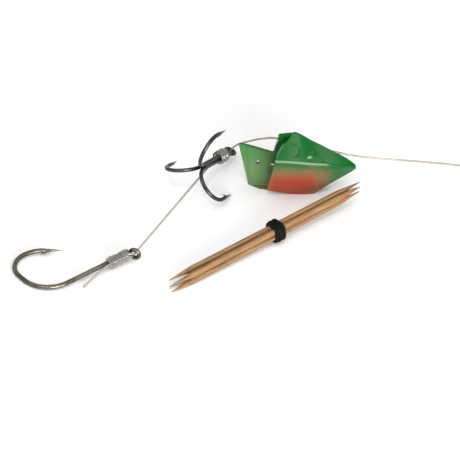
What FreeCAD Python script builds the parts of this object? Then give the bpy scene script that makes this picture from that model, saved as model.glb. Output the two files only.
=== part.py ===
"""Bait helmet trolling rig: moulded helmet, mono leader, snelled treble, trailing hook, bait pins.

Frame: millimetres, +Z up, +X towards the helmet's nose, origin at the centre of the helmet's
flat keel, which stands on the table. Every other piece lies on the same table.
"""
import FreeCAD
import Part
import math
import os
from FreeCAD import Placement, Rotation, Vector

doc = FreeCAD.newDocument("bait_rig")
sheet = doc.addObject("Spreadsheet::Sheet", "sizes")

SIZES = {
    # helmet
    "wall": 1.1,
    "ridge_round": 0.5,
    "shoulder_round": 2.4,
    "line_hole": 0.42,
    "pin_hole": 0.6,
    "mark_ring": 1.75,
    "mark_dome": 1.43,
    "mark_dimple": 1.03,
    "mark_depth": 0.18,
    # mono line
    "line_rad": 0.3,
    "wrap_pitch": 0.66,
    "wrap_rad": 0.3,
    # treble hook
    "treble_wire": 0.55,
    "treble_gap": 9.7,
    "treble_shank": 18.0,
    "treble_spread": 0.66,
    "treble_ring": 1.3,
    "treble_point": 5.8,
    "treble_barb": 0.3,
    "sharp": 0.05,
    "treble_bore": 1.33,
    "treble_snell_from": 3.8,
    "treble_wraps": 6,
    "braze_rad": 0.98,
    "braze_from": 13.2,
    "braze_len": 4.6,
    # trailing hook
    "hook_wire": 0.665,
    "hook_ring": 1.3,
    "hook_ring_wire": 0.55,
    "hook_point": 5.4,
    "hook_barb": 0.42,
    "hook_bore": 1.12,
    "hook_snell_from": 1.2,
    "hook_wraps": 10,
    # bait pins and band
    "pick_rad": 0.85,
    "pick_len": 65.0,
    "pick_taper": 7.5,
    "pick_tip": 0.12,
    "pick_layer": 1.85,
    "band_thick": 0.66,
    "band_wraps": 3,
    "band_pitch": 1.15,
    "band_room": 0.07,
    # spare leader
    "coil_rad": 9.0,
    "coil_section": 2.0,
    "loop_knot_wraps": 4,
    "knot_bore": 0.66,
}
for row, (name, value) in enumerate(SIZES.items(), start=1):
    sheet.set(f"A{row}", name)
    sheet.set(f"B{row}", str(value))
    sheet.setAlias(f"B{row}", name)
doc.recompute()


def size(name):
    """A driving dimension, read from the sheet."""
    return float(sheet.get(name))


# ---------------------------------------------------------------- places
TREBLE_EYE = Vector(-17.1, 15.0, 2.8)
TREBLE_AXIS = Vector(0.417, 0.839, -0.349).normalize()  # from the bends to the eye
TREBLE_UP = Vector(0.382, 0.186, 0.905)  # the brazed third hook, made square to the axis below
HOOK_ORIGIN = Vector(-51.4, -33.9, 1.66)
HOOK_HEADING = 36.0  # degrees in plan, from the bend to the eye
HOOK_LIFT = 2.6  # degrees: the eye's ring holds that end of the shank up
HOOK_EYE_AT = Vector(9.46, -1.44, 0)  # in the hook's own plane
HOOK_EYE_YAW = 72.0  # degrees in plan, the way the eye's hole looks
BUNDLE_CENTRE = Vector(-4.76, -21.0, 3.23)
BUNDLE_HEADING = 37.9
BUNDLE_LIFT = 2.6  # degrees: the band holds the pins up, the left tips touch the table
COIL_CENTRE = Vector(63.0, 12.6, 2.0)

# The line's straight stretch through the helmet, which is also the way the helmet slides.
LINE_REAR = Vector(-4.1, 6.6, 14.1)
LINE_NOSE = Vector(14.7, -0.95, 13.6)


# ---------------------------------------------------------------- helpers
def tangent_wire(points, radii, closed=False):
    """Straight runs joined by tangent arcs. radii has one value for each turned point."""
    count = len(points)
    turned = range(count) if closed else range(1, count - 1)
    cuts = {}
    for k, i in enumerate(turned):
        here = points[i]
        back = (points[i - 1] - here).normalize()
        ahead = (points[(i + 1) % count] - here).normalize()
        turn = math.pi - back.getAngle(ahead)
        reach = radii[k] * math.tan(turn / 2)
        inward = (back + ahead).normalize()
        middle = here + inward * (radii[k] / math.cos(turn / 2) - radii[k])
        cuts[i] = (here + back * reach, middle, here + ahead * reach)
    edges = []
    last = count if closed else count - 1
    for i in range(last):
        j = (i + 1) % count
        begin = cuts[i][2] if i in cuts else points[i]
        end = cuts[j][0] if j in cuts else points[j]
        if begin.distanceToPoint(end) > 1e-4:
            edges.append(Part.LineSegment(begin, end).toShape())
        if j in cuts:
            edges.append(Part.Arc(*cuts[j]).toShape())
    return Part.Wire(edges)


def free_radii(points):
    """Each arc of a free cord is as large as its two runs allow."""
    radii = []
    for a, b, c in zip(points, points[1:], points[2:]):
        turn = (b - a).getAngle(c - b)
        radii.append(0.45 * min((b - a).Length, (c - b).Length) / math.tan(turn / 2))
    return radii


def tube(points, radii, radius, closed=False):
    """A round wire or cord along runs and tangent arcs."""
    path = tangent_wire(points, radii, closed)
    first = path.OrderedEdges[0]
    start = first.valueAt(first.FirstParameter)
    along = first.tangentAt(first.FirstParameter)
    section = Part.Face(Part.Wire(Part.Circle(start, along, radius).toShape()))
    return path.makePipe(section), path.Length


def cord_tube(name, points, radii=None):
    """A stretch of the mono line, with its bend radii and volume printed."""
    radii = radii or free_radii(points)
    radius = size("line_rad")
    solid, length = tube(points, radii, radius)
    print(name, "radii", [round(r, 1) for r in radii], "length", round(length, 1),
          "volume ratio", round(solid.Volume / (math.pi * radius**2 * length), 4))
    return solid


def feature(name, shape):
    """A sub-part whose shape is worked out here from the sheet's sizes."""
    made = doc.addObject("Part::Feature", name)
    made.Label = name
    made.Shape = shape
    return made


def primitive(kind, name, bindings, base=Vector(), turn=None):
    """A Part primitive with its sizes bound to the sheet."""
    made = doc.addObject(kind, name)
    for prop, expression in bindings.items():
        made.setExpression(prop, expression)
    made.Placement = Placement(base, turn or Rotation())
    return made


def joined(name, members):
    made = doc.addObject("Part::MultiFuse", name)
    made.Label = name
    made.Shapes = members
    return made


def cut(name, base, tool):
    made = doc.addObject("Part::Cut", name)
    made.Label = name
    made.Base = base
    made.Tool = tool
    return made


def upright(z_way, x_way):
    """The rotation that takes Z to z_way and X as near as it can to x_way."""
    z = Vector(z_way).normalize()
    y = z.cross(x_way).normalize()
    return Rotation(y.cross(z), y, z, "ZXY")


# ---------------------------------------------------------------- helmet
# x, ridge height, shoulder half width, shoulder height, near and far keel edges, keel height.
# The level stretch of the keel lies a little low, and is trimmed flat at the table.
STATIONS = [
    (-16.0, 21.3, 5.0, 13.6, -0.3, 4.4, -0.9),
    (-11.5, 21.3, 5.0, 13.6, -0.3, 4.4, -0.9),
    (-7.0, 21.3, 5.0, 13.6, -0.3, 4.4, -0.9),
    (-2.8, 21.3, 5.0, 13.5, -0.3, 4.4, -0.9),
    (0.7, 21.3, 5.0, 13.2, -0.3, 4.4, -0.9),
    (4.2, 18.95, 4.85, 12.8, -0.3, 4.25, -0.9),
    (7.4, 16.8, 4.45, 12.4, -0.3, 3.9, 1.15),
    (10.4, 14.8, 3.75, 12.0, -0.35, 3.2, 3.55),
    (13.2, 12.95, 2.75, 11.1, -0.4, 2.2, 5.6),
    (15.6, 11.2, 1.6, 10.1, -0.4, 1.1, 7.35),
    (17.2, 9.5, 0.62, 9.0, -0.25, 0.35, 8.5),
]


PIN_HOLES = ((-9.45, 7.7), (-5.5, 6.6))  # x, z

# Moulded marks on the near roof: x, and how far out from the ridge.
RING_AT = (0.15, 2.95)
DOME_AT = (5.05, 2.85)
DIMPLE_AT = (7.5, 3.0)


def inset(points, depth):
    """A closed outline in the YZ plane, moved inwards by depth."""
    moved = []
    count = len(points)
    for i in range(count):
        a, b, c = points[i - 1], points[i], points[(i + 1) % count]
        into = (b - a).normalize()
        out = (c - b).normalize()
        left = Vector(0, -into.z, into.y)
        turn = into.getAngle(out)
        corner = left + Vector(0, -out.z, out.y)
        corner.normalize()
        moved.append(b + corner * (depth / math.cos(turn / 2)))
    return moved


def section(station, depth):
    """One cross-section: keel, near shoulder, ridge and far shoulder, with rounded corners."""
    x, ridge, half, shoulder, near_keel, far_keel, keel = station
    outline = [
        Vector(x, far_keel, keel),
        Vector(x, half, shoulder),
        Vector(x, 0, ridge),
        Vector(x, -half, shoulder),
        Vector(x, near_keel, keel),
    ]
    if depth:
        outline = inset(outline, depth)
    side = min((b - a).Length for a, b in zip(outline[1:3], outline[2:4]))
    shrink = min(1.0, side / 7.0)
    shoulder_round = max(size("shoulder_round") - depth, 1.0) * shrink
    ridge_round = size("ridge_round") * shrink
    keel_round = 0.12 * shrink
    radii = [keel_round, shoulder_round, ridge_round, shoulder_round, keel_round]
    return tangent_wire(outline, radii, closed=True)


def side_prism(outline, radii, y_from, y_to):
    """A side view outline, given as (x, z), made solid from y_from to y_to."""
    points = [Vector(x, y_from, z) for x, z in outline]
    face = Part.Face(tangent_wire(points, radii, closed=True))
    return face.extrude(Vector(0, y_to - y_from, 0))


def helmet_shape():
    outer = Part.makeLoft([section(s, 0) for s in STATIONS], True, False)
    inside = [s for s in STATIONS if s[0] < 13.5]
    inner = Part.makeLoft([section(s, size("wall")) for s in inside], True, False)
    table = Part.makeBox(60, 40, 5, Vector(-30, -20, -5))
    shell = outer.cut([inner, table])

    # The near wall and roof end at a slanting edge, from the ridge down to the keel.
    near_edge = [(0.7, 21.4), (-2.7, 17.8), (-4.75, 14.6), (-7.4, -0.2), (-7.4, -3), (-20, -3),
                 (-20, 26), (0.7, 26)]
    near_side = side_prism(near_edge, [0.3, 6.0, 1.6, 0.05, 0.3, 0.3, 0.3, 0.3], -12, 12)
    keel_line = Part.BSplineCurve()
    keel_line.interpolate([Vector(-4.6, 0, -2), Vector(-7.1, 0.75, -2), Vector(-9.3, 1.95, -2),
                           Vector(-11.4, 3.3, -2), Vector(-12.6, 4.1, -2)])
    corners = [Vector(-12.6, 4.1, -2), Vector(-20, 4.1, -2), Vector(-20, -12, -2),
               Vector(3, -12, -2), Vector(3, 0, -2), Vector(-4.6, 0, -2)]
    border = [keel_line.toShape()]
    border += [Part.LineSegment(a, b).toShape() for a, b in zip(corners, corners[1:])]
    near_half = Part.Face(Part.Wire(border)).extrude(Vector(0, 0, 30))
    shell = shell.cut(near_side.common(near_half))

    # Behind the middle, the near wall's foot rises from the table towards its slanting edge.
    foot = [[Vector(x, -3, -1), Vector(x, y, -1), Vector(x, y, z), Vector(x, -3, z)]
            for x, y, z in ((-9.0, 1.8, 2.3), (0.0, -0.42, -0.14))]
    shell = shell.cut(Part.makeLoft([Part.makePolygon(f + f[:1]) for f in foot], True, True))

    # The far wall runs on behind: an upper lobe, a V notch and the bait flap.
    far_edge = [(0.9, 21.6), (0.1, 20.2), (-3.9, 19.5), (-4.2, 15.5), (-5.3, 10.6), (-14.8, 13.9),
                (-12.0, -0.6), (-12.0, -3), (-20, -3), (-20, 26), (0.9, 26)]
    far_radii = [0.2, 0.3, 0.7, 1.0, 0.35, 0.3, 0.3, 0.3, 0.3, 0.3, 0.3]
    far_side = side_prism(far_edge, far_radii, 0, 12)
    shell = shell.cut(far_side)

    # Line holes, on one straight line, and the pin holes through the flap.
    way = LINE_NOSE - LINE_REAR
    shell = shell.cut(Part.makeCylinder(size("line_hole"), way.Length + 3, LINE_REAR, way))
    for x, z in PIN_HOLES:
        shell = shell.cut(Part.makeCylinder(size("pin_hole"), 6, Vector(x, 1.5, z), Vector(0, 1, 0)))

    # Marks on the near roof: a grooved ring, a domed boss and a dimple.
    down_roof = Vector(0, -STATIONS[4][2], STATIONS[4][3] - STATIONS[4][1])
    along_ridge = Vector(STATIONS[8][0] - STATIONS[4][0], 0, STATIONS[8][1] - STATIONS[4][1])
    rise = down_roof.cross(along_ridge).normalize()
    groove, groove_wide = size("mark_depth"), 0.2

    def disc(at, radius, low, high):
        """A round slug square to the roof, from low to high above its face."""
        return Part.makeCylinder(radius, high - low, at + rise * low, rise)

    ring, ring_at = size("mark_ring"), roof_point(outer, *RING_AT)
    shell = shell.cut(disc(ring_at, ring, -groove, 1).cut(disc(ring_at, ring - groove_wide, -groove, 1)))
    dome, dome_at = size("mark_dome"), roof_point(outer, *DOME_AT)
    dome_tall = 2 * groove
    ball = (dome**2 + dome_tall**2) / (2 * dome_tall)
    cap = Part.makeSphere(ball, dome_at + rise * (dome_tall - ball)).common(disc(dome_at, dome, -0.5, 0.7))
    shell = shell.fuse(cap)
    return shell.cut(disc(roof_point(outer, *DIMPLE_AT), size("mark_dimple"), -groove, 1))


def roof_point(outer, x, out):
    """The point of the near roof at x, out from the ridge."""
    probe = Part.makeLine(Vector(x, -out, 30), Vector(x, -out, 8))
    return Vector(x, -out, probe.common(outer).BoundBox.ZMax)


feature("bait_helmet", helmet_shape())


# ---------------------------------------------------------------- treble hook
axis = TREBLE_AXIS
up = (TREBLE_UP - axis * TREBLE_UP.dot(axis)).normalize()
side = axis.cross(up)


def around(angle):
    """The direction square to the treble's axis, angle degrees round from the third hook."""
    a = math.radians(angle)
    return up * math.cos(a) + side * math.sin(a)


def along_shank(s, out=0, angle=0):
    """A point s behind the eye and out from the axis."""
    return TREBLE_EYE - axis * s + around(angle) * out


def treble_arm(angle, start):
    """One hook of the treble: shank, round bend, barbed point."""
    wire, gap = size("treble_wire"), size("treble_gap")
    spread, shank = size("treble_spread"), size("treble_shank")
    bend = gap / 2
    cone_length = 4.4
    hair = 0.002  # keeps a sliver of straight wire between the two quarter bends
    points = [
        along_shank(start, spread, angle),
        along_shank(shank + bend, spread, angle),
        along_shank(shank + bend, spread + gap, angle),
        along_shank(shank - size("treble_point") + cone_length, spread + gap, angle),
    ]
    arm, _ = tube(points, [bend - hair, bend - hair], wire)
    point_base = points[-1]
    tip = along_shank(shank - size("treble_point"), spread + gap, angle)
    way = tip - point_base
    cone = Part.makeCone(wire, size("sharp"), way.Length, point_base, way)
    barb_from = point_base + way * 0.3 - around(angle) * 0.1
    barb_to = point_base + way * 0.02 - around(angle) * 1.25
    barb_way = barb_to - barb_from
    barb = Part.makeCone(size("treble_barb"), size("sharp"), barb_way.Length, barb_from, barb_way)
    return arm.fuse([cone, barb]).removeSplitter()


ring = Part.makeTorus(size("treble_ring"), size("treble_wire"), TREBLE_EYE, up)
pair = ring.fuse([treble_arm(120, 1.05), treble_arm(240, 1.05)])
feature("treble_double_hook", pair)
feature("treble_third_hook", treble_arm(0, 2.35))

treble_turn = upright(axis * -1, up)
braze_core = primitive("Part::Cylinder", "braze_core",
                       {"Radius": "sizes.braze_rad", "Height": "sizes.braze_len"})
shanks = []
for k in range(3):
    a = math.radians(120 * k)
    spot = Vector(size("treble_spread") * math.cos(a), size("treble_spread") * math.sin(a), -1)
    shanks.append(primitive("Part::Cylinder", f"braze_shank_{k}", {
        "Radius": "sizes.treble_wire + 0.01", "Height": "sizes.braze_len + 2"}, spot))
braze = cut("treble_braze", braze_core, joined("braze_shanks", shanks))
braze.Placement = Placement(along_shank(size("braze_from")), treble_turn)


# ---------------------------------------------------------------- snell wraps
def snell(name, bore, wraps, place, turn):
    """Turns of line side by side, on a thin sleeve that stands for the wraps' inner halves."""
    count = int(size(wraps))
    outer = primitive("Part::Cylinder", name + "_sleeve", {
        "Radius": f"sizes.{bore} + sizes.wrap_rad", "Height": f"sizes.wrap_pitch * {count}"})
    turns = [outer]
    for k in range(count):
        turns.append(primitive("Part::Torus", f"{name}_turn_{k}", {
            "Radius1": f"sizes.{bore} + sizes.wrap_rad", "Radius2": "sizes.wrap_rad"}))
        turns[-1].setExpression("Placement.Base.z", f"sizes.wrap_pitch * {k + 0.5}")
    hollow = primitive("Part::Cylinder", name + "_bore", {
        "Radius": f"sizes.{bore}", "Height": f"sizes.wrap_pitch * {count} + 2"}, Vector(0, 0, -1))
    made = cut(name, joined(name + "_turns", turns), hollow)
    made.Placement = Placement(place, turn)
    return made


snell("treble_snell", "treble_bore", "treble_wraps", along_shank(size("treble_snell_from")), treble_turn)

# ---------------------------------------------------------------- trailing hook
hook_place = Placement(HOOK_ORIGIN, Rotation(Vector(0, 0, 1), HOOK_HEADING)
                       * Rotation(Vector(0, 1, 0), -HOOK_LIFT))


def on_hook(u, w, rise=0):
    """A point in the hook's plane: u towards the eye, w towards the point, rise above it."""
    return hook_place.multVec(Vector(u, w, rise))


HOOK_EYE = on_hook(HOOK_EYE_AT.x, HOOK_EYE_AT.y)


def trailing_hook_shape():
    wire = size("hook_wire")
    bend = [on_hook(8.75, -0.6), on_hook(7.9, -0.15), on_hook(-20.3, -0.15), on_hook(-20.6, 18.8),
            on_hook(-10.6, 16.1), on_hook(-9.2, 15.05)]
    body, _ = tube(bend, [2.0, 8.5, 6.3, 8.0], wire)
    base = bend[-1]
    way = (bend[-1] - bend[-2]).normalize() * size("hook_point")
    cone = Part.makeCone(wire, size("sharp"), way.Length, base, way)
    barb_from, barb_to = on_hook(-7.4, 13.75), on_hook(-10.9, 14.1)
    barb_way = barb_to - barb_from
    barb = Part.makeCone(size("hook_barb"), size("sharp"), barb_way.Length, barb_from, barb_way)
    yaw = math.radians(HOOK_EYE_YAW)
    hole_way = Vector(math.cos(yaw), math.sin(yaw), 0)
    ring = Part.makeTorus(size("hook_ring"), size("hook_ring_wire"), HOOK_EYE, hole_way)
    return body.fuse([cone, barb, ring])


feature("trailing_hook", trailing_hook_shape())
hook_turn = hook_place.Rotation * Rotation(Vector(0, 1, 0), 90)
snell("hook_snell", "hook_bore", "hook_wraps",
      on_hook(size("hook_snell_from"), -0.47, 0.05), hook_turn)
feature("hook_snell_line", cord_tube("hook_snell_line", [
    on_hook(8.62, -1.5, -0.52), on_hook(8.2, -1.06, -0.52), on_hook(0.4, -1.04, -0.5)], [0.8]))
feature("hook_tag_end", cord_tube("hook_tag_end", [
    on_hook(6.6, -1.22, 0.25), on_hook(0.6, -1.22, 0.25), on_hook(-3.0, -2.0, 0.0),
    on_hook(-9.0, -3.5, -0.7)], [7.0, 20.0]))

# ---------------------------------------------------------------- trace between the hooks
groove = 1.0
trace_top = along_shank(1.9, groove, 180)
trace_bend = along_shank(11.7, groove, 180)
feature("trace_line", cord_tube("trace_line", [trace_top, trace_bend, HOOK_EYE], [5.0]))

# ---------------------------------------------------------------- leader
leader = [
    TREBLE_EYE - up * 0.3,
    TREBLE_EYE + up * 1.5,
    Vector(-13.3, 14.6, 6.2),
    Vector(-8.6, 10.1, 11.0),
    LINE_REAR,
    LINE_NOSE,
    Vector(25.8, -0.6, 12.1),
    Vector(36.0, 1.9, 9.2),
    Vector(45.4, 4.7, 6.0),
    Vector(51.5, 5.0, 4.0),
    Vector(57.2, 3.9, 2.4),
]
leader_radii = free_radii(leader)
leader_radii[0] = 1.8
leader_radii[3] = 5.0
leader_radii[4] = 6.0
feature("leader_line", cord_tube("leader_line", leader, leader_radii))
primitive("Part::Torus", "leader_coil", {
    "Radius1": "sizes.coil_rad", "Radius2": "sizes.coil_section"}, COIL_CENTRE)

knot_at = COIL_CENTRE + Vector(-7.2, 0, -0.73)
snell("leader_knot", "knot_bore", "loop_knot_wraps", knot_at, Rotation(Vector(0, 1, 0), 90))
knot_end = knot_at + Vector(size("wrap_pitch") * size("loop_knot_wraps"), 0, 0)
LOOP = [(-1.6, 0.33, 0), (0.9, 0.33, 0), (3.4, 2.1, -0.5), (6.3, 1.9, -0.8), (6.5, -1.3, -0.8),
        (3.8, -2.0, -0.5), (1.1, -0.33, 0), (-1.6, -0.33, 0)]
feature("leader_loop", cord_tube("leader_loop", [knot_end + Vector(*spot) for spot in LOOP]))

# ---------------------------------------------------------------- bait pins
bundle = Placement(BUNDLE_CENTRE, Rotation(Vector(0, 0, 1), BUNDLE_HEADING)
                   * Rotation(Vector(0, 1, 0), -BUNDLE_LIFT))
# name, offset across the bundle, layer (-1 below, 1 above), yaw in degrees, centre along
PINS = [
    ("toothpick_1", -0.88, -1, 0.55, -4.1),
    ("toothpick_2", 0.98, -1, 0.35, -3.4),
    ("toothpick_3", -1.0, 1, -0.1, -3.9),
    ("toothpick_4", 0.9, 1, -0.55, -2.9),
]
for name, across, layer, yaw, centre in PINS:
    stem = primitive("Part::Cylinder", name + "_stem", {
        "Radius": "sizes.pick_rad", "Height": "sizes.pick_len - 2 * sizes.pick_taper"})
    stem.setExpression("Placement.Base.z", "sizes.pick_taper")
    head = primitive("Part::Cone", name + "_head", {
        "Radius1": "sizes.pick_rad", "Radius2": "sizes.pick_tip", "Height": "sizes.pick_taper"})
    head.setExpression("Placement.Base.z", "sizes.pick_len - sizes.pick_taper")
    tail = primitive("Part::Cone", name + "_tail", {
        "Radius1": "sizes.pick_tip", "Radius2": "sizes.pick_rad", "Height": "sizes.pick_taper"})
    pick = joined(name, [tail, stem, head])
    pick.Refine = True
    lie = Rotation(Vector(0, 0, 1), yaw) * Rotation(Vector(0, 1, 0), 90)
    middle = Placement(Vector(0, across, layer * size("pick_layer") / 2), lie)
    back = Placement(Vector(0, 0, centre - size("pick_len") / 2), Rotation())
    pick.Placement = bundle * middle * back


# ---------------------------------------------------------------- rubber band
def band_shape():
    """Three turns of a thick band round the four pins, each turn slightly askew."""
    thick, pitch, wraps = size("band_thick"), size("band_pitch"), int(size("band_wraps"))
    half = size("pick_rad") + size("pick_layer") / 2 + size("band_room") + thick
    loops = []
    for k in range(wraps):
        x = (k - (wraps - 1) / 2) * pitch
        lean = 0.12 * (1 - k)
        corners = [Vector(x + lean * y, y * 1.06, z)
                   for y, z in ((-half, -half), (half, -half), (half, half), (-half, half))]
        path = tangent_wire(corners, [half * 0.55] * 4, closed=True)
        first = path.OrderedEdges[0]
        start = first.valueAt(first.FirstParameter)
        along = first.tangentAt(first.FirstParameter)
        section = Part.Face(Part.Wire(Part.Circle(start, along, thick).toShape()))
        loops.append(path.makePipe(section))
    return loops[0].fuse(loops[1:])


band = feature("rubber_band", band_shape())
band.Placement = bundle

# ---------------------------------------------------------------- write
NODES = [
    "bait_helmet", "treble_double_hook", "treble_third_hook", "treble_braze", "treble_snell",
    "trailing_hook", "hook_snell", "hook_snell_line", "hook_tag_end", "trace_line",
    "leader_line", "leader_coil", "leader_knot", "leader_loop",
    "toothpick_1", "toothpick_2", "toothpick_3", "toothpick_4", "rubber_band",
]
doc.recompute()
for made in doc.Objects:
    if "Invalid" in made.State or "Error" in made.State:
        raise RuntimeError(f"{made.Name} failed: {made.State}")
os.makedirs("parts", exist_ok=True)
for name in NODES:
    found = doc.getObjectsByLabel(name)[0]
    shape = found.Shape
    if shape.isNull() or not shape.isValid():
        raise RuntimeError(f"{name} has a bad shape")
    box = shape.BoundBox
    print(f"{name}: {len(shape.Solids)} solid, {shape.Volume:.1f} mm3,",
          [round(v, 1) for v in (box.XMin, box.YMin, box.ZMin, box.XMax, box.YMax, box.ZMax)])
    shape.exportStep(f"parts/{name}.step")
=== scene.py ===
"""Bait helmet trolling rig: materials, line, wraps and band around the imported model."""
import math
import random

import bpy
from mathutils import Matrix, Vector


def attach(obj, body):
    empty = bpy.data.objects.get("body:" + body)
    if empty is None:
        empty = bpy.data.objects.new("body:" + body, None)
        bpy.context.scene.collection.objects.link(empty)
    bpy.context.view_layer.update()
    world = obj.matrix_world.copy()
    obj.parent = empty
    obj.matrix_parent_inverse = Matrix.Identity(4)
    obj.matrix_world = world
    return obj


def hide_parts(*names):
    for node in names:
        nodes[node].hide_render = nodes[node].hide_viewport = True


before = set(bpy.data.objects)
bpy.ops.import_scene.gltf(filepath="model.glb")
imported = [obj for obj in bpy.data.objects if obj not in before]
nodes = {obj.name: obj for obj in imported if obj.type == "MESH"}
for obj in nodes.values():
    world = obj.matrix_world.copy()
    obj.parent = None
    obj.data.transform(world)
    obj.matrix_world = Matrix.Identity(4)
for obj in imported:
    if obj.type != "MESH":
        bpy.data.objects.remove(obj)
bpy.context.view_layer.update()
MM = 0.001

# ------------------------------------------------------------------ places, as in the CAD source
TREBLE_EYE = Vector((-17.1, 15.0, 2.8)) * MM
TREBLE_AXIS = Vector((0.417, 0.839, -0.349)).normalized()  # from the bends to the eye
RAW_UP = Vector((0.382, 0.186, 0.905))
TREBLE_UP = (RAW_UP - TREBLE_AXIS * RAW_UP.dot(TREBLE_AXIS)).normalized()
HOOK_ORIGIN = Vector((-51.4, -33.9, 1.66)) * MM
TIP_DOWN = Matrix.Rotation(math.radians(-2.6), 3, "Y")
HOOK_TURN = Matrix.Rotation(math.radians(36.0), 3, "Z") @ TIP_DOWN
BUNDLE_CENTRE = Vector((-4.76, -21.0, 3.23)) * MM
BUNDLE_ANGLE = math.radians(37.9)
BUNDLE_TURN = Matrix.Rotation(BUNDLE_ANGLE, 3, "Z") @ TIP_DOWN
COIL_CENTRE = Vector((63.0, 12.6, 2.0)) * MM
COIL_RADIUS = 9.0 * MM
LINE_DIAMETER = 0.6 * MM
LINE_RADIUS = LINE_DIAMETER / 2
FLOOR_DROP = 0.05 * MM  # the floor is just under the keel, so that the two don't flicker


def on_hook(u, w, rise=0.0):
    return HOOK_ORIGIN + HOOK_TURN @ Vector((u, w, rise)) * MM


# ------------------------------------------------------------------ camera
scene = bpy.context.scene
AIM = Vector((-17.1, -16.45, 0.0)) * MM
ELEVATION = math.radians(38.0)
DISTANCE = 2.7  # far off with a long lens, so that the view is nearly parallel
camera_data = bpy.data.cameras.new("camera")
camera_data.lens = 777.6
camera_data.sensor_width = 36
camera_data.clip_start = 0.1
camera = bpy.data.objects.new("camera", camera_data)
scene.collection.objects.link(camera)
camera.location = AIM + Vector((0, -math.cos(ELEVATION), math.sin(ELEVATION))) * DISTANCE
camera.rotation_euler = (math.pi / 2 - ELEVATION, 0, 0)
scene.camera = camera


# ------------------------------------------------------------------ helpers: materials
def new_material(name, values):
    made = bpy.data.materials.new(name)
    made.use_nodes = True
    shader = made.node_tree.nodes["Principled BSDF"]
    for socket, value in values.items():
        shader.inputs[socket].default_value = value
    return made, made.node_tree.nodes, made.node_tree.links, shader


def add(tree_nodes, kind, values=None, **settings):
    node = tree_nodes.new(kind)
    for key, value in settings.items():
        setattr(node, key, value)
    for socket, value in (values or {}).items():
        node.inputs[socket].default_value = value
    return node


def smooth_step(tree_nodes, links, source, low, high, to_low=0.0, to_high=1.0):
    """A value that turns smoothly from to_low to to_high while the source goes from low to high."""
    node = add(tree_nodes, "ShaderNodeMapRange", {1: low, 2: high, 3: to_low, 4: to_high},
               interpolation_type="SMOOTHSTEP")
    links.new(source, node.inputs[0])
    return node.outputs[0]


def math_node(tree_nodes, links, operation, first, second):
    node = add(tree_nodes, "ShaderNodeMath", operation=operation)
    for socket, value in zip(node.inputs, (first, second)):
        if isinstance(value, (int, float)):
            socket.default_value = value
        else:
            links.new(value, socket)
    return node.outputs[0]


def mix_colour(tree_nodes, links, factor, first, second):
    node = add(tree_nodes, "ShaderNodeMix", data_type="RGBA")
    if isinstance(factor, float):
        node.inputs[0].default_value = factor
    else:
        links.new(factor, node.inputs[0])
    for socket, value in ((node.inputs[6], first), (node.inputs[7], second)):
        if isinstance(value, tuple):
            socket.default_value = (*value, 1)
        else:
            links.new(value, socket)
    return node.outputs[2]


def noise(tree_nodes, links, vector, scale, detail=3.0, roughness=0.5):
    node = add(tree_nodes, "ShaderNodeTexNoise", {"Scale": scale, "Detail": detail, "Roughness": roughness})
    links.new(vector, node.inputs["Vector"])
    return node.outputs["Fac"]


def bump(tree_nodes, links, shader, height, distance, strength=1.0):
    node = add(tree_nodes, "ShaderNodeBump", {"Distance": distance, "Strength": strength})
    links.new(height, node.inputs["Height"])
    links.new(node.outputs["Normal"], shader.inputs["Normal"])


def object_place(tree_nodes):
    return tree_nodes.new("ShaderNodeTexCoord").outputs["Object"]


# ------------------------------------------------------------------ materials
RIDGE_GREEN, NOSE_GREEN = (0.0003, 0.076, 0.008), (0.0005, 0.082, 0.010)
SHOULDER_OLIVE, BELLY_RED, KEEL_ORANGE = (0.100, 0.140, 0.048), (0.27, 0.015, 0.002), (0.26, 0.040, 0.012)
INNER_LOW, INNER_HIGH = (0.100, 0.175, 0.070), (0.030, 0.150, 0.034)


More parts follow.
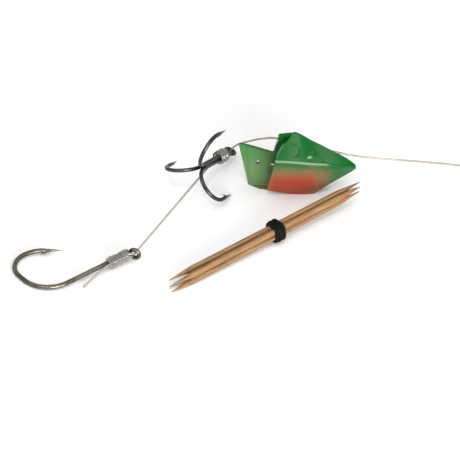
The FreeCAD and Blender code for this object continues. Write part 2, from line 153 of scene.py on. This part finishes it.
def helmet_plastic():
    made, tree, links, shader = new_material("helmet_plastic", {
        "Subsurface Weight": 0.08, "Subsurface Radius": (0.35, 0.9, 0.3), "Subsurface Scale": 0.0010,
        "IOR": 1.47, "Specular IOR Level": 0.14, "Coat Weight": 0.32, "Coat Roughness": 0.10})
    place = object_place(tree)
    axes = add(tree, "ShaderNodeSeparateXYZ")
    links.new(place, axes.inputs[0])
    cloud = noise(tree, links, place, 260.0, 2.0)
    cloud_shift = math_node(tree, links, "MULTIPLY", math_node(tree, links, "SUBTRACT", cloud, 0.5), 0.0024)
    height = math_node(tree, links, "ADD", axes.outputs[2], cloud_shift)
    along = math_node(tree, links, "ADD", axes.outputs[0], cloud_shift)
    # green above, paler and browner below
    tall = smooth_step(tree, links, height, 0.0080, 0.0155)
    green = mix_colour(tree, links, tall, SHOULDER_OLIVE, RIDGE_GREEN)
    fore = smooth_step(tree, links, along, 0.005, 0.0125)
    green = mix_colour(tree, links, fore, green, NOSE_GREEN)
    # red sprayed on the middle of the belly
    low = smooth_step(tree, links, height, 0.0045, 0.0135, 1.0, 0.0)
    front = smooth_step(tree, links, along, 0.0035, 0.0125, 1.0, 0.0)
    back = smooth_step(tree, links, along, -0.0095, -0.0045)
    red = math_node(tree, links, "MULTIPLY", math_node(tree, links, "MULTIPLY", low, front), back)
    rim = smooth_step(tree, links, height, 0.001, 0.007, 1.0, 0.0)
    warm = mix_colour(tree, links, rim, BELLY_RED, KEEL_ORANGE)
    outside = mix_colour(tree, links, red, green, warm)
    # the inner faces have no paint: paler green
    look = add(tree, "ShaderNodeNewGeometry")
    normal = add(tree, "ShaderNodeSeparateXYZ")
    links.new(look.outputs["Normal"], normal.inputs[0])
    outward = math_node(tree, links, "MULTIPLY", axes.outputs[1], normal.outputs[1])
    inner = smooth_step(tree, links, outward, -0.0012, -0.0002, 1.0, 0.0)
    inside = mix_colour(tree, links, smooth_step(tree, links, height, 0.002, 0.016), INNER_LOW, INNER_HIGH)
    colour = mix_colour(tree, links, inner, outside, inside)
    links.new(colour, shader.inputs["Base Color"])
    haze = noise(tree, links, place, 900.0, 4.0, 0.6)
    links.new(smooth_step(tree, links, haze, 0.2, 0.8, 0.20, 0.27), shader.inputs["Roughness"])
    bump(tree, links, shader, noise(tree, links, place, 300.0, 2.0), 0.00005, 0.3)
    return made


def clear_line(name, clearness, dark, light, rough):
    made, tree, links, shader = new_material(name, {
        "Transmission Weight": clearness, "IOR": 1.53, "Coat Weight": 0.6, "Coat Roughness": 0.04})
    place = object_place(tree)
    tone = noise(tree, links, place, 350.0, 3.0)
    colour = mix_colour(tree, links, tone, dark, light)
    links.new(colour, shader.inputs["Base Color"])
    links.new(smooth_step(tree, links, noise(tree, links, place, 2200.0, 2.0), 0.3, 0.7, rough, rough * 2.2),
              shader.inputs["Roughness"])
    bump(tree, links, shader, noise(tree, links, place, 1600.0, 2.0), 0.00002, rough * 3)
    return made


def plated_steel(name, dark, light, rough_low, rough_high, specks_tone):
    made, tree, links, shader = new_material(name, {"Metallic": 0.9, "IOR": 1.6})
    place = object_place(tree)
    tone = noise(tree, links, place, 300.0, 4.0, 0.6)
    colour = mix_colour(tree, links, smooth_step(tree, links, tone, 0.35, 0.65), dark, light)
    specks = smooth_step(tree, links, noise(tree, links, place, 2600.0, 3.0, 0.7), 0.58, 0.72)
    colour = mix_colour(tree, links, math_node(tree, links, "MULTIPLY", specks, 0.5), colour, specks_tone)
    links.new(colour, shader.inputs["Base Color"])
    streak = noise(tree, links, place, 1400.0, 3.0, 0.6)
    links.new(smooth_step(tree, links, streak, 0.3, 0.7, rough_low, rough_high), shader.inputs["Roughness"])
    bump(tree, links, shader, noise(tree, links, place, 2600.0, 3.0, 0.6), 0.00003, 0.5)
    return made


def pick_wood(name, shift):
    made, tree, links, shader = new_material(name, {"IOR": 1.4, "Subsurface Weight": 0.08,
                                                    "Subsurface Scale": 0.0008})
    place = object_place(tree)
    lie = add(tree, "ShaderNodeMapping", {"Location": shift, "Rotation": (0, 0, -BUNDLE_ANGLE)})
    links.new(place, lie.inputs["Vector"])
    stretch = add(tree, "ShaderNodeMapping", {"Scale": (0.03, 1.0, 1.0)})
    links.new(lie.outputs[0], stretch.inputs["Vector"])
    grain = noise(tree, links, stretch.outputs[0], 2600.0, 4.0, 0.6)
    fine = noise(tree, links, stretch.outputs[0], 9000.0, 2.0, 0.7)
    patch = noise(tree, links, place, 110.0, 3.0)
    colour = mix_colour(tree, links, smooth_step(tree, links, grain, 0.32, 0.68),
                        (0.150, 0.070, 0.028), (0.32, 0.190, 0.085))
    colour = mix_colour(tree, links, smooth_step(tree, links, patch, 0.45, 0.75, 0.0, 0.45),
                        colour, (0.26, 0.130, 0.046))
    colour = mix_colour(tree, links, smooth_step(tree, links, fine, 0.60, 0.78, 0.0, 0.5),
                        colour, (0.115, 0.048, 0.018))
    links.new(colour, shader.inputs["Base Color"])
    links.new(smooth_step(tree, links, fine, 0.3, 0.7, 0.55, 0.75), shader.inputs["Roughness"])
    bump(tree, links, shader, grain, 0.00012, 0.7)
    return made


def band_rubber():
    made, tree, links, shader = new_material("band_rubber", {"IOR": 1.45, "Specular IOR Level": 0.12})
    place = object_place(tree)
    colour = mix_colour(tree, links, noise(tree, links, place, 900.0, 3.0), (0.002, 0.002, 0.002),
                        (0.007, 0.007, 0.008))
    links.new(colour, shader.inputs["Base Color"])
    links.new(smooth_step(tree, links, noise(tree, links, place, 1800.0, 3.0), 0.3, 0.7, 0.6, 0.85),
              shader.inputs["Roughness"])
    bump(tree, links, shader, noise(tree, links, place, 2400.0, 4.0, 0.6), 0.00008, 0.8)
    return made


PLASTIC = helmet_plastic()
LINE = clear_line("mono_line", 0.62, (0.40, 0.345, 0.29), (0.56, 0.50, 0.44), 0.12)
WRAPS = clear_line("mono_wraps", 0.84, (0.36, 0.34, 0.31), (0.62, 0.59, 0.55), 0.03)
BLACK_NICKEL = plated_steel("treble_steel", (0.040, 0.037, 0.036), (0.090, 0.086, 0.087), 0.24, 0.38,
                            (0.10, 0.085, 0.07))
DULL_NICKEL = plated_steel("hook_steel", (0.088, 0.078, 0.060), (0.175, 0.160, 0.128), 0.22, 0.36,
                           (0.26, 0.20, 0.13))
BRAZE = plated_steel("braze", (0.026, 0.023, 0.022), (0.05, 0.046, 0.045), 0.34, 0.5, (0.09, 0.075, 0.06))
RUBBER = band_rubber()


def clothe(node, material):
    held = nodes[node]
    if not held.material_slots:
        held.data.materials.append(material)
    for slot in held.material_slots:
        slot.material = material


clothe("bait_helmet", PLASTIC)
for name in ("treble_double_hook", "treble_third_hook"):
    clothe(name, BLACK_NICKEL)
clothe("treble_braze", BRAZE)
clothe("trailing_hook", DULL_NICKEL)
for name in ("trace_line", "hook_snell_line", "hook_tag_end"):
    clothe(name, LINE)
for number in range(1, 5):
    clothe(f"toothpick_{number}", pick_wood(f"wood_{number}", (number * 0.013, number * 0.031, number * 0.017)))


# ------------------------------------------------------------------ helpers: line pieces
def line_piece(name, spots, radius, material, closed=False, radii=None, steps=6):
    """One smooth spline with a round section."""
    data = bpy.data.curves.new(name, "CURVE")
    data.dimensions = "3D"
    spline = data.splines.new("NURBS")
    spline.points.add(len(spots) - 1)
    for index, spot in enumerate(spots):
        spline.points[index].co = (*spot, 1.0)
        if radii:
            spline.points[index].radius = radii[index]
    spline.order_u = 3
    if closed:
        spline.use_cyclic_u = True
    else:
        spline.use_endpoint_u = True
    spline.resolution_u = steps
    data.bevel_depth = radius
    data.bevel_resolution = 4
    data.use_fill_caps = not closed
    data.materials.append(material)
    piece = bpy.data.objects.new(name, data)
    scene.collection.objects.link(piece)
    return piece


def finish_piece(piece, body, slot, *replaced):
    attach(piece, body)
    if replaced:
        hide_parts(*replaced)
    return piece


# ------------------------------------------------------------------ leader
rim_side = TREBLE_EYE + TREBLE_AXIS * 0.35 * MM  # the line lies against the outer side of the ring
route = [rim_side - TREBLE_UP * 0.3 * MM, rim_side + TREBLE_UP * 1.5 * MM] + [Vector(spot) * MM for spot in (
    (-13.3, 14.6, 6.2), (-8.6, 10.1, 11.0), (-4.1, 6.6, 14.1), (14.7, -0.95, 13.6), (25.8, -0.6, 12.1),
    (36.0, 1.9, 9.2), (45.4, 4.7, 6.0), (51.5, 5.0, 4.0), (57.2, 3.9, 2.4))]
POINTS_PER_TURN = 14
CUT_IN = 0.975  # a smooth spline runs this much inside the circle its points are on
TURN_GAP = 0.62 * MM
COLUMN_GAP = TURN_GAP * math.sqrt(3) / 2
PACK_RADIUS = 1.7 * MM
ENTRY_ANGLE = math.radians(252.0)
LEAVE_ANGLE = math.radians(150.0)
SHIFT_SHARE = 0.3  # the share of a turn in which the line steps over to the next place

places = []
for column in range(3, -4, -1):
    rows = []
    for row in range(-4, 5):
        out = column * COLUMN_GAP
        rise = (row + (0.5 if column % 2 else 0.0)) * TURN_GAP
        if math.hypot(out, rise) <= PACK_RADIUS:
            rows.append((out, rise))
    places += rows[::-1] if column % 2 else rows
whole = (LEAVE_ANGLE - ENTRY_ANGLE) % math.tau
count = int(((len(places) - 1) * math.tau + whole) / math.tau * POINTS_PER_TURN)
for step in range(count + 1):
    turned = step / POINTS_PER_TURN
    here = min(int(turned), len(places) - 1)
    there = min(here + 1, len(places) - 1)
    share = max(0.0, (turned - int(turned) - 1 + SHIFT_SHARE) / SHIFT_SHARE)
    share = share * share * (3 - 2 * share)  # starts and stops softly
    out = places[here][0] * (1 - share) + places[there][0] * share
    rise = places[here][1] * (1 - share) + places[there][1] * share
    angle = ENTRY_ANGLE + turned * math.tau
    reach = (COIL_RADIUS + out) / CUT_IN
    route.append(COIL_CENTRE + Vector((reach * math.cos(angle), reach * math.sin(angle), rise)))
knot_start = COIL_CENTRE + Vector((-6.1, 0, -0.73)) * MM
route += [COIL_CENTRE + Vector(spot) * MM for spot in (
    (-7.6, 1.5, -0.1), (-7.4, 0.0, -0.6), (-5.6, 0.0, -0.73), (-4.0, 0.0, -0.73))]
leader = finish_piece(line_piece("leader", route, LINE_RADIUS, LINE), "leader", "mono_line",
                      "leader_line", "leader_coil")


WRAP_POINTS = 12
WRAP_CUT_IN = 0.966  # as CUT_IN, for fewer points to a turn


def wound(name, start, along, across, bore, turns, pitch, seed, swell=None, lump=0.0, lump_way=0.0):
    """Turns of line round a core, each a little larger or smaller than the last. swell(share) is how much
    larger they are along the way, and lump is how far they stand out on the side at lump_way."""
    draw = random.Random(seed)
    third = along.cross(across)
    spots = []
    sizes = [draw.uniform(-0.05, 0.12) * MM for _ in range(turns + 2)]
    slips = [draw.uniform(-0.05, 0.05) * MM for _ in range(turns + 2)]
    for step in range(turns * WRAP_POINTS + 1):
        turned = step / WRAP_POINTS
        here = int(turned)
        part = turned - here
        loose = sizes[here] * (1 - part) + sizes[here + 1] * part
        slip = slips[here] * (1 - part) + slips[here + 1] * part
        angle = turned * math.tau
        more = (swell(turned / turns) if swell else 0.0) * MM
        more += lump * MM * max(0.0, math.cos(angle - lump_way)) ** 2 * math.sin(turned / turns * math.pi)
        reach = (bore + LINE_RADIUS + loose + more) / WRAP_CUT_IN
        spots.append(start + along * (pitch * turned + slip)
                     + (across * math.cos(angle) + third * math.sin(angle)) * reach)
    return line_piece(name, spots, LINE_RADIUS, WRAPS, steps=4)


X = Vector((1, 0, 0))
Z = Vector((0, 0, 1))
loop_knot = finish_piece(
    wound("loop_knot", knot_start, X, Z, 0.36 * MM, 4, 0.64 * MM, 3),
    "leader", "mono_line", "leader_knot")
knot_end = COIL_CENTRE + Vector((-4.56, 0, -0.73)) * MM
end_loop = finish_piece(line_piece("end_loop", [knot_end + Vector(spot) * MM for spot in (
    (-1.6, 0.33, 0), (0.9, 0.33, 0), (3.4, 2.1, -0.5), (6.3, 1.9, -0.8), (6.5, -1.3, -0.8),
    (3.8, -2.0, -0.5), (1.1, -0.33, 0), (-1.6, -0.33, 0))], LINE_RADIUS, LINE),
    "leader", "mono_line", "leader_loop")

# ------------------------------------------------------------------ wraps on the two hooks
finish_piece(
    wound("treble_wraps", TREBLE_EYE - TREBLE_AXIS * 3.9 * MM, -TREBLE_AXIS, TREBLE_UP, 1.18 * MM, 6,
          0.66 * MM, 5, swell=lambda share: 0.12 * math.sin(share * math.tau) ** 2),
    "treble", "mono_line", "treble_snell")
finish_piece(line_piece("treble_lead", [TREBLE_EYE + spot for spot in (
    TREBLE_AXIS * 0.3 * MM, -TREBLE_UP * 0.95 * MM - TREBLE_AXIS * 0.6 * MM,
    -TREBLE_UP * 1.55 * MM - TREBLE_AXIS * 2.2 * MM, -TREBLE_UP * 1.6 * MM - TREBLE_AXIS * 4.2 * MM)],
    LINE_RADIUS, LINE), "treble", "mono_line")
finish_piece(
    wound("hook_wraps", on_hook(1.4, -0.47, 0.05), HOOK_TURN @ X, HOOK_TURN @ Z, 0.98 * MM, 10,
          0.64 * MM, 7, swell=lambda share: 0.10 * math.sin(share * math.tau * 1.5),
          lump=0.5, lump_way=math.radians(60.0)),
    "single_hook", "mono_line", "hook_snell")
finish_piece(line_piece("hook_lead", [
    on_hook(10.0, -0.9, 0.2), on_hook(9.3, -1.6, 0.1), on_hook(8.8, -2.05, 0.5), on_hook(8.0, -1.75, 1.0),
    on_hook(7.1, -1.45, 1.05)], LINE_RADIUS, LINE), "single_hook", "mono_line")

# ------------------------------------------------------------------ rubber band
BAND_RADIUS = 0.56 * MM
BAND_SIDE, BAND_RISE = 2.38, 2.34  # half the size across the bundle, mm, and half its height
BAND_SQUARE = 0.72  # below 1, the loop is squarer than an ellipse
BAND_POINTS = 20
draw = random.Random(11)
loops = []
for loop_at, lean, size, tilt in ((-1.08, 0.04, 0.97, 0.02), (-0.36, -0.03, 1.05, 0.03),
                                  (0.36, 0.03, 0.98, -0.02), (1.06, -0.04, 1.03, 0.02)):
    spots, radii = [], []
    for step in range(BAND_POINTS):
        angle = math.tau * step / BAND_POINTS
        y = math.copysign(abs(math.cos(angle)) ** BAND_SQUARE, math.cos(angle)) * BAND_SIDE * size
        z = math.copysign(abs(math.sin(angle)) ** BAND_SQUARE, math.sin(angle)) * BAND_RISE * size
        x = loop_at + lean * y + tilt * z + draw.uniform(-0.10, 0.10)
        spots.append(BUNDLE_CENTRE + BUNDLE_TURN @ Vector((x, y, z)) * MM)
        radii.append(draw.uniform(0.86, 1.1))
    loops.append((spots, radii))
for index, (spots, radii) in enumerate(loops):
    piece = line_piece(f"band_loop_{index + 1}", spots, BAND_RADIUS, RUBBER, closed=True, radii=radii)
    finish_piece(piece, "band", "band_rubber", "rubber_band")

# ------------------------------------------------------------------ floor, world and lights
floor_mesh = bpy.data.meshes.new("floor")
FLOOR_HALF = 1.5
floor_mesh.from_pydata([(-FLOOR_HALF, -FLOOR_HALF, 0), (FLOOR_HALF, -FLOOR_HALF, 0),
                        (FLOOR_HALF, FLOOR_HALF, 0), (-FLOOR_HALF, FLOOR_HALF, 0)], [], [(0, 1, 2, 3)])
floor = bpy.data.objects.new("floor", floor_mesh)
floor.location.z = -FLOOR_DROP
scene.collection.objects.link(floor)
floor_look, _, _, _ = new_material("floor_white", {"Base Color": (0.92, 0.92, 0.92, 1), "Roughness": 0.9,
                                                   "Specular IOR Level": 0.0})
floor_mesh.materials.append(floor_look)

world = bpy.data.worlds.new("world")
scene.world = world
world.use_nodes = True
sky, sky_links = world.node_tree.nodes, world.node_tree.links
sky_axes = add(sky, "ShaderNodeSeparateXYZ")
sky_links.new(add(sky, "ShaderNodeTexCoord").outputs["Generated"], sky_axes.inputs[0])
overhead = smooth_step(sky, sky_links, sky_axes.outputs[2], 0.05, 0.75)
sky_colour = mix_colour(sky, sky_links, overhead, (0.16, 0.17, 0.19), (1.0, 1.0, 1.0))
sky_links.new(sky_colour, sky["Background"].inputs["Color"])
sky["Background"].inputs["Strength"].default_value = 0.86
scene.view_settings.view_transform = "Standard"


def area_light(name, azimuth, elevation, distance, wide, tall, watts, colour=(1, 1, 1)):
    """A soft light. Azimuth is from the front, -Y, positive towards +X; sizes and distance are in metres."""
    data = bpy.data.lights.new(name, "AREA")
    data.shape = "RECTANGLE"
    data.size = wide
    data.size_y = tall
    data.energy = watts
    data.color = colour
    light = bpy.data.objects.new(name, data)
    scene.collection.objects.link(light)
    turn, lift = math.radians(azimuth), math.radians(elevation)
    away = Vector((math.sin(turn) * math.cos(lift), -math.cos(turn) * math.cos(lift), math.sin(lift)))
    light.location = away * distance
    light.rotation_euler = away.to_track_quat("Z", "Y").to_euler()


area_light("key", -35, 62, 0.9, 0.8, 0.8, 1.7, (1.0, 0.98, 0.95))
area_light("fill", 70, 45, 0.9, 0.4, 0.4, 0.8, (0.92, 0.96, 1.0))
area_light("spot", -12, 58, 0.9, 0.10, 0.10, 0.9)
area_light("window", 16, 11, 0.7, 0.5, 0.32, 7.5)
